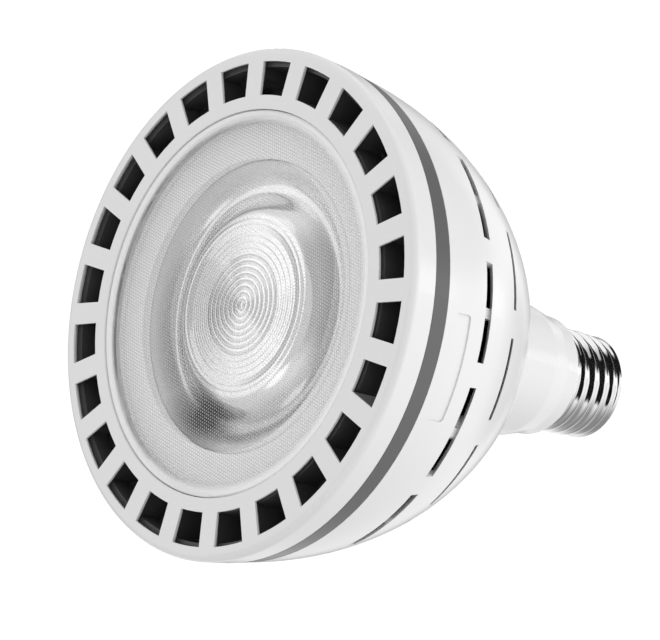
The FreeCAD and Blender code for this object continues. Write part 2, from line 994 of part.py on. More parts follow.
def bare_plate():
    """Cutter for a bare plate with round corners, sunk a little into the bowl's side."""
    length = bowl_semi_length + overcut
    width = bowl_semi_width + overcut
    start = plate_middle - plate_height
    depth = overcut + plate_depth
    skin = spin(ellipse_strip(length, width, depth, start, plate_middle + plate_height))
    blank = Part.makeBox(
        width,
        plate_width,
        plate_height,
        V(0, -plate_width / 2, plate_middle - plate_height / 2),
    )
    corners = [e for e in blank.Edges if e.BoundBox.XLength > width - 1e-6]
    return turned(skin.common(blank.makeFillet(plate_corner, corners)), plate_angle)


def rear_shell():
    """Bowl and neck with two rows of slots, ribs behind the wide slots, bosses and a bare plate."""
    body = bowl_wall(band_end)
    wide = slot_cutter(slot_middle, slot_height, slot_span)
    fine = slot_cutter(fine_slot_middle, fine_slot_height, fine_slot_span)
    body = body.cut(around(wide, slot_count) + around(fine, slot_count, 180.0 / slot_count))
    body = body.fuse(around(slot_rib(), slot_count))
    pilots = []
    for angle in shell_screw_angles:
        body = body.fuse(shell_boss(angle))
        x, y = on_circle(shell_screw_circle, angle)
        reach = ear_front + shell_screw_length + overcut
        pilots.append(rod(x, y, ear_back, reach, shell_screw_radius + screw_clearance))
    return body.cut(pilots + [bare_plate()]).removeSplitter()


def driver_cup():
    """Stepped insulating cup: wide in the drum, narrow in the neck, ending in the spigot."""
    skirt_end = shell_end + skirt_start + skirt_length
    neck_end = cup_shoulder - cup_shoulder_taper
    body = spun(
        [
            (cup_radius, floor_back, 0),
            (cup_radius, cup_straight_end, cup_bend),
            (cup_neck_radius, cup_cone_end, cup_bend),
            (cup_neck_radius, neck_end, 0),
            (cup_collar_radius, cup_shoulder, 0),
            (cup_collar_radius, shell_end, 0),
            (spigot_radius, shell_end, 0),
            (spigot_radius, skirt_end, 0),
            (spigot_root_radius, skirt_end + skirt_round, 0),
            (spigot_root_radius, spigot_end, cup_edge_round),
            (spigot_inside, spigot_end, 0),
            (spigot_inside, cup_shoulder, 0),
            (cup_neck_bore, neck_end, 0),
            (cup_neck_bore, cup_cone_end, cup_bend),
            (cup_bore, cup_straight_end, cup_bend),
            (cup_bore, floor_back, 0),
        ]
    )
    bosses, pilots = [], []
    for angle in cup_screw_angles:
        x, y = on_circle(cup_screw_circle, angle)
        bosses.append(rod(x, y, floor_back, floor_back + cup_boss_length, cup_boss_radius))
        reach = floor_front + cup_screw_length + overcut
        pilots.append(rod(x, y, floor_back, reach, cup_screw_radius + screw_clearance))
    return body.fuse(bosses).cut(pilots).removeSplitter()


def cup_lid():
    start = floor_back + lid_depth
    disc = tube(cup_bore - slide_clearance, 0, start, lid_back)
    cuts = [rod(0, wire_hole_offset, start, lid_back, wire_hole_radius)]
    for angle in cup_screw_angles:
        x, y = on_circle(cup_screw_circle, angle)
        cuts.append(rod(x, y, start, lid_back, cup_boss_radius + slide_clearance))
    return disc.cut(cuts)


def screw_shell():
    """Thin plated shell: plain skirt, rounded thread, and a curl round the insulator."""
    start = shell_end + skirt_start
    outer = [(thread_radius, start, 0), (thread_radius, start + skirt_length, skirt_round)]
    for turn in range(thread_turns):
        crest = first_crest + turn * thread_pitch
        outer.append((thread_root, crest - thread_pitch / 2, root_round if turn else skirt_round))
        outer.append((thread_radius, crest - crest_land / 2, crest_round))
        outer.append((thread_radius, crest + crest_land / 2, crest_round))
    outer.append((thread_radius - metal, curl_end, curl_round))
    outer.append((curl_radius, curl_end, 0))
    inner = [(radius - metal, height, bend) for radius, height, bend in outer[:-2]]
    inner.append((thread_radius - 2 * metal, curl_inside, curl_round - metal))
    inner.append((curl_radius, curl_inside, 0))
    return spin(
        rounded_path(outer)
        + rounded_path(inner)
        + rounded_path([outer[0], inner[0]])
        + rounded_path([outer[-1], inner[-1]])
    )


def base_insulator():
    """Dark insulator held by the curl, with a cone that carries the contact."""
    neck = curl_radius - slide_clearance
    bore = rivet_radius + slide_clearance
    return spun(
        [
            (bore, insulator_front, 0),
            (insulator_radius, insulator_front, 0),
            (insulator_radius, curl_inside - slide_clearance, insulator_edge_round),
            (neck, curl_inside - slide_clearance, 0),
            (neck, curl_end, 0),
            (insulator_tip_radius, contact_seat, insulator_tip_round),
            (bore, contact_seat, 0),
        ]
    )


def centre_contact():
    """Domed tip with a hollow rivet stem through the insulator."""
    top = contact_seat + contact_rise
    edge = contact_seat + contact_edge
    stem_end = contact_seat - rivet_length
    rise = top - edge
    sphere = (contact_radius**2 + rise**2) / (2 * rise)
    dome = arc_about(point(0, top - sphere), sphere, point(contact_radius, edge), point(0, top))
    rest = rounded_path(
        [
            (0, top, 0),
            (0, contact_seat, 0),
            (rivet_bore, contact_seat, 0),
            (rivet_bore, stem_end, 0),
            (rivet_radius, stem_end, 0),
            (rivet_radius, contact_seat, 0),
            (contact_radius, contact_seat, 0),
            (contact_radius, edge, 0),
        ]
    )
    return spin([dome] + rest)


def pcb_half_width(bore):
    back = pcb_thickness - pcb_face
    return math.sqrt(bore**2 - back**2) - pcb_edge_clearance


def driver_board():
    """Board on edge along the lamp's axis: wide in the drum, narrow in the neck."""
    wide = pcb_half_width(cup_bore)
    narrow = pcb_half_width(cup_neck_bore)
    back = pcb_face - pcb_thickness
    front_part = box(0, back, pcb_front, 2 * wide, pcb_thickness, pcb_step - pcb_front)
    back_part = box(0, back, pcb_step, 2 * narrow, pcb_thickness, pcb_back - pcb_step)
    return front_part.fuse(back_part).removeSplitter()


def core_opening():
    """Width of each winding window of the core, and how far its middle is off the axis."""
    width = (core_width - 2 * core_leg - core_middle_leg) / 2
    return width, (core_middle_leg + width) / 2


def transformer_core():
    """Two E cores, joined face to face, open at both sides for the winding."""
    bottom = pcb_face + core_lift
    width, shift = core_opening()
    height = core_height - 2 * core_leg
    block = box(0, bottom, core_start, core_width, core_height, core_length)
    windows = [
        box(side * shift, bottom + core_leg, core_start, width, height, core_length)
        for side in (-1, 1)
    ]
    return block.cut(windows)


def transformer_bobbin():
    """Wound bobbin round the middle leg, with the feet that stand on the board."""
    width, shift = core_opening()
    width -= 2 * winding_clearance
    bottom = pcb_face + core_lift + core_leg + winding_clearance
    height = core_height - 2 * core_leg - 2 * winding_clearance
    start = core_start - bobbin_reach
    length = core_length + 2 * bobbin_reach
    span = 2 * shift + width
    body = box(-shift, bottom, start, width, height, length)
    body = body.fuse(box(shift, bottom, start, width, height, length))
    for at in (start, start + length - bobbin_flange):
        body = body.fuse(box(0, bottom, at, span, height, bobbin_flange))
        foot = box(0, pcb_face, at, bobbin_foot_width, bottom - pcb_face, bobbin_flange)
        body = body.fuse(foot)
    return body.removeSplitter()


def can(radius, length):
    """A capacitor can, standing up, with a crimped groove near its foot."""
    body = spun(
        [
            (0, 0, 0),
            (radius, 0, can_foot_round),
            (radius, length, can_top_round),
            (0, length, 0),
        ]
    )
    return body.cut(Part.makeTorus(radius + groove_offset, groove_radius, V(0, 0, groove_height)))


def stood_on_board(body, x, height):
    """Turns an upright piece to stand on the driver board's face."""
    body.rotate(V(0, 0, 0), V(1, 0, 0), -90)
    body.translate(V(x, pcb_face, height))
    return body


def bulk_capacitor():
    body = can(bulk_radius, bulk_length)
    body.translate(V(0, pcb_face + bulk_radius + lying_clearance, bulk_start))
    return body


def output_capacitor():
    return stood_on_board(can(output_radius, output_length), side_part_offset, side_part_height)


def film_capacitor():
    block = box(-film_offset, pcb_face, neck_part_height, film_width, film_height, film_length)
    edges = [e for e in block.Edges if e.BoundBox.YMin > pcb_face + film_height / 2]
    return block.makeFillet(film_round, edges)


def line_choke():
    """A drum core standing on the board: two flanges and the wound waist."""
    body = spun(
        [
            (0, 0, 0),
            (choke_radius, 0, choke_round),
            (choke_radius, choke_flange, 0),
            (choke_waist, choke_flange, 0),
            (choke_waist, choke_length - choke_flange, 0),
            (choke_radius, choke_length - choke_flange, 0),
            (choke_radius, choke_length, choke_round),
            (0, choke_length, 0),
        ]
    )
    return stood_on_board(body, -side_part_offset, side_part_height)


def fusible_resistor():
    """A small round resistor lying along the board."""
    body = spun(
        [
            (0, 0, 0),
            (resistor_radius, 0, resistor_round),
            (resistor_radius, resistor_length, resistor_round),
            (0, resistor_length, 0),
        ]
    )
    height = pcb_face + resistor_radius + lying_clearance
    body.translate(V(resistor_offset, height, neck_part_height))
    return body


def bridge_rectifier():
    bottom = pcb_face - pcb_thickness - bridge_height
    return box(0, bottom, neck_part_height, bridge_width, bridge_height, bridge_length)


def driver_chip():
    bottom = pcb_face - pcb_thickness - chip_height
    return box(0, bottom, pcb_step + chip_setback, chip_width, chip_height, chip_length)


def led_lead(side):
    """From the driver board, through the lid and the floor, to a pad on the light board."""
    x = side * led_lead_spread
    lying = pcb_face + lead_radius + lying_clearance
    over_board = board_front - lead_radius - lying_clearance
    start = core_start - bobbin_reach - lead_clearance
    rising = (pcb_front + lid_back) / 2 + lead_clearance
    return wire_run(
        [
            (x, lying, start),
            (x, lying, pcb_front + 2 * lead_bend),
            (x, wire_hole_offset, rising),
            (x, wire_hole_offset, over_board),
            (side * led_pad_offset, wire_hole_offset, over_board),
        ],
        lead_radius,
        lead_bend,
    )


def led_lead_plus():
    return led_lead(1)


def led_lead_minus():
    return led_lead(-1)


def contact_lead():
    """From the driver board along the axis into the contact's stem."""
    lying = pcb_face + lead_radius + lying_clearance
    return wire_run(
        [
            (0, lying, pcb_back - lead_on_board),
            (0, lying, cup_shoulder + contact_lead_run),
            (0, 0, first_crest - contact_lead_rise),
            (0, 0, contact_seat - contact_lead_gap),
        ],
        lead_radius,
        base_lead_bend,
    )


def rim_lead():
    """From the driver board to the inside of the screw part, past the end of the spigot."""
    lying = pcb_face + lead_radius + lying_clearance
    wall = thread_root - metal - lead_radius - screw_clearance
    return wire_run(
        [
            (rim_lead_offset, lying, pcb_back - lead_on_board),
            (rim_lead_offset, lying, cup_shoulder + rim_lead_run),
            (rim_lead_radius, 0, first_crest),
            (rim_lead_radius, 0, spigot_end - lead_clearance),
            (wall, 0, spigot_end + rim_lead_end),
        ],
        lead_radius,
        rim_lead_bend,
    )


parts = [
    front_bezel,
    lens_cover,
    lens_seal,
    optic_ring,
    collimator,
    optic_holder,
    led_emitter,
    led_package,
    led_board,
    thermal_pad,
    board_screws,
    heat_sink,
    trim_band,
    rear_shell,
    shell_screws,
    driver_cup,
    cup_lid,
    cup_screws,
    screw_shell,
    base_insulator,
    centre_contact,
    driver_board,
    transformer_core,
    transformer_bobbin,
    bulk_capacitor,
    output_capacitor,
    film_capacitor,
    line_choke,
    fusible_resistor,
    bridge_rectifier,
    driver_chip,
    led_lead_plus,
    led_lead_minus,
    contact_lead,
    rim_lead,
]

os.makedirs("parts", exist_ok=True)
for part in parts:
    part().exportStep("parts/" + part.__name__ + ".step")
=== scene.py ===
import math

import bmesh
import bpy
from mathutils import Euler, Matrix, Vector


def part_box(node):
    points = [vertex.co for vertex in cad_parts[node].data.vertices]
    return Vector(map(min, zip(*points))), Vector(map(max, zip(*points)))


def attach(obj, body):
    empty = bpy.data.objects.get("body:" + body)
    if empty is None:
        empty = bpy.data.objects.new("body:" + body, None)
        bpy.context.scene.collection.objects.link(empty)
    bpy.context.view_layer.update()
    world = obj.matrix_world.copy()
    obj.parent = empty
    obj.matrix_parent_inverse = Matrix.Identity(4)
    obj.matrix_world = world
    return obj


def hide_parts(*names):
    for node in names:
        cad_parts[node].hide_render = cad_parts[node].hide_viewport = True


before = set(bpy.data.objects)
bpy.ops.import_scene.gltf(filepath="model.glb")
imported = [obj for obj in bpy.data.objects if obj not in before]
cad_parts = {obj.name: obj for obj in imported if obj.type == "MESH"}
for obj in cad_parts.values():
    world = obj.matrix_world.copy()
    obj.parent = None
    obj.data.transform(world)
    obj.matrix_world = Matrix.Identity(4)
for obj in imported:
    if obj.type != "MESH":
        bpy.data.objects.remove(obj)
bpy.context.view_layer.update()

bl_info = {
    "name": "Vented Reflector Lamp",
    "version": (1, 0, 0),
    "blender": (4, 5, 0),
    "location": "View3D > Sidebar > Lamp",
    "description": "Dresses a vented reflector lamp with its finishes, screw thread, optics and stage",
    "category": "Object",
}

ROOT = "root"

# Width of the collimator's flange, outside its clear front.
OPTIC_FLANGE = 0.004

# Outline of one ring at the collimator's middle: shares of the pitch and of the depth.
RING_OUTLINE = ((0.0, 0.0), (0.3, 0.45), (0.65, 0.95), (0.8, 1.0), (0.92, 0.4))

# Numbers of the sockets that aren't found by name: those of a mix of colours, the two outputs of
# the coordinates that are used, the number that a vector node gives, the joints between the
# bricks, and whether a ray comes from the camera or from a reflection.
MIX_MASK, MIX_FIRST, MIX_SECOND, MIX_COLOUR = 0, 6, 7, 2
COORDINATE_WAY, COORDINATE_OBJECT = 0, 3
VECTOR_NUMBER = 1
BRICK_MASK = 1
PATH_CAMERA, PATH_GLOSSY = 0, 3

# Darker and brighter places of the studio, which only reflections see. Each has the way to it from
# the lamp, as right, up and towards the camera, then the angles in degrees at which it begins and
# ends to fade, and the light that it adds.
REFLECTED_PLACES = (
    ((-0.12, 0.49, 0.86), 25, 62, -0.55),
    ((0.4, -0.25, 0.88), 16, 26, -1.0),
    ((0.5, 0.42, 0.76), 18, 28, -1.0),
    ((0.66, 0.68, 0.25), 16, 28, -1.0),
    ((0.74, 0.58, -0.34), 22, 32, -1.0),
    ((0.58, -0.14, -0.8), 8, 16, -0.8),
    ((0.05, 0.05, -1.0), 14, 24, -0.75),
    ((-0.05, 0.52, -0.85), 4, 13, -0.6),
    ((0.32, 0.5, -0.8), 8, 17, -0.45),
    ((0.15, -0.95, 0.0), 15, 62, -0.75),
    ((-0.72, 0.1, -0.65), 8, 34, -0.7),
    ((-0.97, 0.23, -0.12), 12, 40, 0.6),
    ((-0.58, 0.82, 0.0), 4, 12, 0.35),
    ((-0.79, -0.38, 0.48), 5, 16, 0.8),
    ((0.98, 0.1, -0.16), 2, 7, 1.8),
    ((0.8, 0.05, -0.6), 2, 7, 1.0),
)


class LampSizes(bpy.types.PropertyGroup):
    thread_radius: bpy.props.FloatProperty(
        name="Thread radius",
        description="Outside radius of the screw thread's crests",
        default=0.01315,
        unit="LENGTH",
        precision=5,
    )
    thread_depth: bpy.props.FloatProperty(
        name="Thread depth",
        description="How far the thread's roots lie inside its crests",
        default=0.00085,
        unit="LENGTH",
        precision=5,
    )
    thread_pitch: bpy.props.FloatProperty(
        name="Thread pitch",
        description="Rise of the thread in one turn",
        default=0.00363,
        unit="LENGTH",
        precision=5,
    )
    thread_start: bpy.props.FloatProperty(
        name="First crest",
        description="Height of the first crest on the side of +X",
        default=0.10608,
        unit="LENGTH",
        precision=5,
    )
    ring_pitch: bpy.props.FloatProperty(
        name="Ring pitch",
        description="Distance between the rings at the middle of the collimator",
        default=0.0015,
        unit="LENGTH",
        precision=5,
    )
    ring_depth: bpy.props.FloatProperty(
        name="Ring depth",
        description="Depth of the collimator's inner rings; the outer ones are half as deep",
        default=0.0004,
        unit="LENGTH",
        precision=5,
    )
    prism_pitch: bpy.props.FloatProperty(
        name="Prism pitch",
        description="Distance between the rows of fine prisms on the lens cover",
        default=0.0007,
        unit="LENGTH",
        precision=5,
    )


class LampLooks(bpy.types.PropertyGroup):
    plastic: bpy.props.FloatVectorProperty(
        name="Plastic",
        description="White of the moulded bezel and bowl",
        default=(0.81, 0.81, 0.81),
        subtype="COLOR",
    )
    band: bpy.props.FloatVectorProperty(
        name="Band",
        description="Grey of the trim band",
        default=(0.13, 0.13, 0.13),
        subtype="COLOR",
    )
    metal: bpy.props.FloatVectorProperty(
        name="Heat sink",
        description="Black of the heat sink's coat",
        default=(0.06, 0.06, 0.06),
        subtype="COLOR",
    )
    plating: bpy.props.FloatVectorProperty(
        name="Plating",
        description="Nickel plate of the screw base",
        default=(0.9, 0.9, 0.9),
        subtype="COLOR",
    )


class LampStage(bpy.types.PropertyGroup):
    camera_place: bpy.props.FloatVectorProperty(
        name="Camera place",
        description="Where the camera stands",
        default=(0.64239, 0.13274, -0.55201),
        subtype="TRANSLATION",
    )
    camera_turn: bpy.props.FloatVectorProperty(
        name="Camera turn",
        description="Turn of the camera, as XYZ angles",
        default=(math.radians(-165.245), math.radians(-46.615), math.radians(-8.129)),
        subtype="EULER",
    )
    camera_lens: bpy.props.FloatProperty(
        name="Focal length",
        description="Focal length of the camera in millimetres",
        default=202.53,
        unit="CAMERA",
    )
    floor_height: bpy.props.FloatProperty(
        name="Floor height",
        description="Height of the pale floor, below the camera",
        default=-0.9,
        unit="LENGTH",
    )
    floor_radius: bpy.props.FloatProperty(
        name="Floor radius",
        description="Radius of the round floor",
        default=0.45,
        unit="LENGTH",
    )
    light_place: bpy.props.FloatVectorProperty(
        name="Light place",
        description="How far right, up and towards the camera the soft box stands from the lamp",
        default=(1.3, -0.3, 0.15),
        subtype="TRANSLATION",
    )
    light_size: bpy.props.FloatProperty(
        name="Light size",
        description="Side of the soft box",
        default=0.7,
        unit="LENGTH",
    )
    light_power: bpy.props.FloatProperty(
        name="Light power",
        description="Power of the soft box in watts",
        default=1.5,
        unit="POWER",
    )


class Signal:
    """An output socket that takes part in arithmetic."""

    def __init__(self, nodes, socket):
        self.nodes = nodes
        self.socket = socket

    def math(self, operation, *others, clamp=False):
        settings = {"operation": operation, "use_clamp": clamp}
        return self.nodes.node("ShaderNodeMath", settings, [self, *others])[0]

    def __add__(self, other):
        return self.math("ADD", other)

    def __sub__(self, other):
        return self.math("SUBTRACT", other)

    def __rsub__(self, other):
        return self.nodes.node("ShaderNodeMath", {"operation": "SUBTRACT"}, [other, self])[0]

    def __mul__(self, other):
        return self.math("MULTIPLY", other)

    def __truediv__(self, other):
        return self.math("DIVIDE", other)

    def __pow__(self, other):
        return self.math("POWER", other)

    def __gt__(self, other):
        return self.math("GREATER_THAN", other)

    def clamped(self):
        """The value, kept from 0 to 1."""
        return self.math("ADD", 0.0, clamp=True)

    __radd__ = __add__
    __rmul__ = __mul__


class Nodes:
    """A node tree in the making."""

    def __init__(self, owner):
        owner.use_nodes = True
        self.tree = owner.node_tree

    def node(self, kind, settings=None, values=()):
        """Adds a node, sets it up and feeds its sockets. Gives its outputs as signals."""
        made = self.tree.nodes.new(kind)
        for name, value in (settings or {}).items():
            setattr(made, name, value)
        pairs = values.items() if isinstance(values, dict) else enumerate(values)
        for key, value in pairs:
            self.connect(made.inputs[key], value)
        return [Signal(self, out) for out in made.outputs]

    def connect(self, socket, value):
        if isinstance(value, Signal):
            self.tree.links.new(value.socket, socket)
        else:
            socket.default_value = value

    def lobe(self, way, middle, inner, outer):
        """One within the inner angle round the middle, falling smoothly to nothing at the outer."""
        settings = {"operation": "DOT_PRODUCT"}
        near = self.node("ShaderNodeVectorMath", settings, [way, middle])[VECTOR_NUMBER]
        values = {
            "Value": near,
            "From Min": math.cos(math.radians(outer)),
            "From Max": math.cos(math.radians(inner)),
        }
        return self.node("ShaderNodeMapRange", {"interpolation_type": "SMOOTHSTEP"}, values)[0]


class Finish(Nodes):
    """A material in the making: its nodes, and a Principled shader that they feed."""

    def __init__(self, name, **constants):
        self.material = bpy.data.materials.new(name)
        super().__init__(self.material)
        self.shader = self.tree.nodes["Principled BSDF"]
        self.feed(**constants)

    def feed(self, **values):
        """Feeds the shader's sockets, named in lower case with underscores."""
        for name, value in values.items():
            words = name.replace("_", " ")
            socket = next(s for s in self.shader.inputs if s.name.lower() == words)
            self.connect(socket, value)
        return self

    def place(self):
        return self.node("ShaderNodeTexCoord")[COORDINATE_OBJECT]

    def coordinates(self):
        """The place as x, y and z, in metres."""
        return self.node("ShaderNodeSeparateXYZ", None, [self.place()])

    def noise(self, size, detail=2.0):
        """Noise whose grains are about as large as the size in metres."""
        values = {"Vector": self.place(), "Scale": 1 / size, "Detail": detail}
        return self.node("ShaderNodeTexNoise", None, values)[0]

    def tint(self, colour, other, mask):
        """One colour turning into another by a mask."""
        values = {MIX_MASK: mask, MIX_FIRST: (*colour, 1), MIX_SECOND: (*other, 1)}
        return self.node("ShaderNodeMix", {"data_type": "RGBA"}, values)[MIX_COLOUR]

    def bump(self, height, depth):
        """A normal bent by a height whose full step is as deep as the depth in metres."""
        return self.node("ShaderNodeBump", None, {"Height": height, "Distance": depth})[0]


def scaled(colour, factor):
    return tuple(min(1.0, c * factor) for c in colour)


def around(middle, *swings):
    """A value that swings round a middle by masks, each given with its reach."""
    low = middle - sum(reach for _, reach in swings) / 2
    return sum(mask * reach for mask, reach in swings) + low


def along(x, y, way):
    """Distance from the lamp's axis along a way across it."""
    return x * way[0] + y * way[1]


def moulded_plastic(name, colour, roughness, gloss=0.5):
    """Satin to glossy moulded plastic: faint flow clouds and a soft orange peel."""
    finish = Finish(name, specular_ior_level=gloss)
    clouds = finish.noise(size=0.03, detail=3.0)
    speckle = finish.noise(size=0.0012)
    peel = finish.noise(size=0.004, detail=1.0)
    return finish.feed(
        base_color=finish.tint(scaled(colour, 0.98), scaled(colour, 1.02), clouds),
        roughness=around(roughness, (clouds, 0.06), (speckle, 0.03)),
        normal=finish.bump(peel, depth=0.000002),
    ).material


def coated_metal(name, colour):
    """Cast aluminium under a matte black coat, with fine pits."""
    finish = Finish(name, specular_ior_level=0.35)
    pits = finish.noise(size=0.0005, detail=3.0)
    clouds = finish.noise(size=0.012)
    return finish.feed(
        base_color=finish.tint(scaled(colour, 0.7), scaled(colour, 1.6), clouds),
        roughness=around(0.48, (clouds, 0.12)),
        normal=finish.bump(pits, depth=0.00003),
    ).material


def plated_metal(name, colour, roughness=0.08):
    """Bright plate with a faint drawn grain and handling haze."""
    finish = Finish(name, metallic=1.0)
    haze = finish.noise(size=0.006, detail=3.0)
    grain = finish.noise(size=0.0004)
    return finish.feed(
        base_color=finish.tint(scaled(colour, 0.93), scaled(colour, 1.03), haze),
        roughness=around(roughness, (haze, 0.08), (grain, 0.04)),
        normal=finish.bump(grain, depth=0.000002),
    ).material


def soft_matte(name, colour, roughness, size=0.004):
    """Lacquer, rubber, tape, sleeve or sintered powder, mottled at its own size."""
    finish = Finish(name, specular_ior_level=0.4)
    mottle = finish.noise(size, detail=3.0)
    grain = finish.noise(size / 12)
    return finish.feed(
        base_color=finish.tint(scaled(colour, 0.85), scaled(colour, 1.12), mottle),
        roughness=around(roughness, (mottle, 0.1)),
        normal=finish.bump(grain, depth=0.00001),
    ).material


def prism_lens(name, pitch, back, optic_radius, rim_radius):
    """Clear cover with a hexagonal field of fine prisms on its back, light with dark joints.

    It is a thin veil: denser on the prisms, outside the optic and at the solid rim.
    """
    rim_width = 0.0015
    row_turns = (math.radians(angle) for angle in (-8, 52, 112))
    lowest_sum, highest_sum = -1.5, 3.0
    prism_light, outside_light = 1.3, 0.6
    least_veil = 0.02
    clear_veil, prism_veil, outside_veil, rim_veil = 0.09, 0.3, 0.27, 0.8

    finish = Finish(name, specular_ior_level=0.3)
    x, y, z = finish.coordinates()
    rows = [along(x, y, (math.cos(turn), math.sin(turn))) for turn in row_turns]
    waves = sum((row * (math.tau / pitch)).math("COSINE") for row in rows)
    prisms = (waves - lowest_sum) / (highest_sum - lowest_sum)
    radius = (x * x + y * y) ** 0.5
    outside = radius > optic_radius
    rim = ((radius - rim_radius) / rim_width).clamped()
    field = z > back
    shade = prisms * prism_light + outside * outside_light + rim
    veil = field * (1 - rim) * (prisms * prism_veil + outside * outside_veil + clear_veil)
    return finish.feed(
        base_color=finish.tint((0.15, 0.15, 0.15), (1.0, 1.0, 1.0), shade),
        alpha=veil + (1 - field) * rim * rim_veil + least_veil,
        roughness=field * prisms * 0.2 + 0.3,
        normal=finish.bump(field * prisms, depth=pitch * 0.1),
    ).material


def clear_optic(name, pitch, rings_end):
    """Clear plastic that looks silvery, its colour painted with light and shade: painted shade on the
    rings of its middle and in its channel, one side lighter than the other, and a painted dark
    reflection in the channel.
    """
    # A painted dark reflection in the channel: its place, half length and half width, the share of it
    # that is fully dark, and how fast it fades.
    dark_reflection_place = Vector((-0.0138, 0.0252))
    dark_reflection_length, dark_reflection_width, dark_reflection_core, dark_reflection_sharpness = 0.0075, 0.0105, 0.3, 1.1
    first_ring = 0.001
    channel_radius, channel_width = 0.0285, 0.0044
    dark_way = (0.617, 0.787)
    light_way, light_reach = (0.99, -0.141), 0.024
    rim_start, rim_width = 0.0298, 0.0036
    brightness, ring_contrast, channel_contrast, side_contrast = 0.9, 0.15, 0.25, 0.26

    finish = Finish(name)
    haze = finish.noise(size=0.003, detail=3.0)
    x, y, _ = finish.coordinates()
    radius = (x * x + y * y) ** 0.5
    # Mask of the painted dark reflection: dark inside an ellipse round its place, fading out beyond
    # its core.
    out_x, out_y = dark_reflection_place.normalized()
    out = (along(x, y, (out_x, out_y)) - dark_reflection_place.length) / dark_reflection_length
    aside = along(x, y, (out_y, -out_x)) / dark_reflection_width
    from_dark_reflection = (out * out + aside * aside) ** 0.5
    clear = ((from_dark_reflection - dark_reflection_core) * dark_reflection_sharpness).clamped()
    # Painted shade on the rings of the middle: the colour darkens once each ring pitch, out to the
    # rings' end.
    wave = ((radius - first_ring) * (math.tau / pitch)).math("COSINE")
    rings = wave * (1 - (radius > rings_end))
    # Painted shade in the channel: darkest at its middle radius and stronger towards one side.
    off_channel = (radius - channel_radius) / channel_width
    channel = (1 - off_channel * off_channel).math("MAXIMUM", 0.0)
    channel_shade = channel * (along(x, y, dark_way) / channel_radius + 1)
    # Painted light: the optic's colour is lighter towards one side and darker towards the other.
    side = (along(x, y, light_way) / light_reach + 0.5).clamped()
    shade = brightness - rings * ring_contrast
    shade = shade * (1 - channel_shade * channel_contrast)
    shade = shade * (side * side_contrast + (1 - side_contrast))
    rim = ((radius - rim_start) / rim_width).clamped()
    # The base colour is the painted shade and painted light, darkened by the painted dark reflection.
    return finish.feed(
        base_color=finish.tint((0.01, 0.01, 0.01), (1.0, 1.0, 1.0), clear * shade),
        metallic=(1 - rim) * 0.85,
        roughness=haze * 0.06 + rim * 0.4 + 0.08,
    ).material


def phosphor(name):
    """Yellow phosphor silicone with the light source's grid faintly showing."""
    grid = 0.0012
    finish = Finish(name, roughness=0.35)
    cells = finish.node(
        "ShaderNodeTexVoronoi",
        {"feature": "F1"},
        {"Vector": finish.place(), "Scale": 1 / grid, "Randomness": 0.0},
    )[0]
    return finish.feed(
        base_color=finish.tint((0.9, 0.72, 0.15), (0.98, 0.86, 0.35), cells),
        normal=finish.bump(cells, depth=0.00003),
    ).material


def circuit_board(name):
    """Green lacquer over copper tracks."""
    tracks_in_a_metre = 220.0
    finish = Finish(name, specular_ior_level=0.5)
    tracks = finish.node(
        "ShaderNodeTexBrick",
        {"offset": 0.35, "squash": 1.0},
        {"Vector": finish.place(), "Scale": tracks_in_a_metre, "Mortar Size": 0.03},
    )[BRICK_MASK]
    weave = finish.noise(size=0.0006)
    return finish.feed(
        base_color=finish.tint((0.01, 0.16, 0.05), (0.03, 0.3, 0.09), tracks),
        roughness=around(0.3, (weave, 0.1)),
        normal=finish.bump(tracks, depth=0.00003),
    ).material


def show(node, material):
    """Gives a CAD node its finish."""
    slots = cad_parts[node].data.materials
    slots.clear()
    slots.append(material)


def shaded_piece(name, mesh, material, *nodes):
    """Makes a finished piece of a bmesh, which stands for CAD nodes and rides on the body."""
    data = bpy.data.meshes.new(name)
    mesh.to_mesh(data)
    mesh.free()
    data.materials.append(material)
    for face in data.polygons:
        face.use_smooth = True
    piece = bpy.data.objects.new(name, data)
    bpy.context.scene.collection.objects.link(piece)
    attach(piece, ROOT)
    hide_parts(*nodes)
    return piece


def spun_outline(points, steps):
    """A bmesh spun from an outline of (radius, height) points."""
    mesh = bmesh.new()
    verts = [mesh.verts.new((r, 0, z)) for r, z in points]
    edges = [mesh.edges.new(pair) for pair in zip(verts, verts[1:])]
    bmesh.ops.spin(
        mesh,
        geom=verts + edges,
        cent=(0, 0, 0),
        axis=(0, 0, 1),
        angle=math.tau,
        steps=steps,
        use_merge=True,
    )
    bmesh.ops.remove_doubles(mesh, verts=mesh.verts, dist=1e-7)
    return mesh


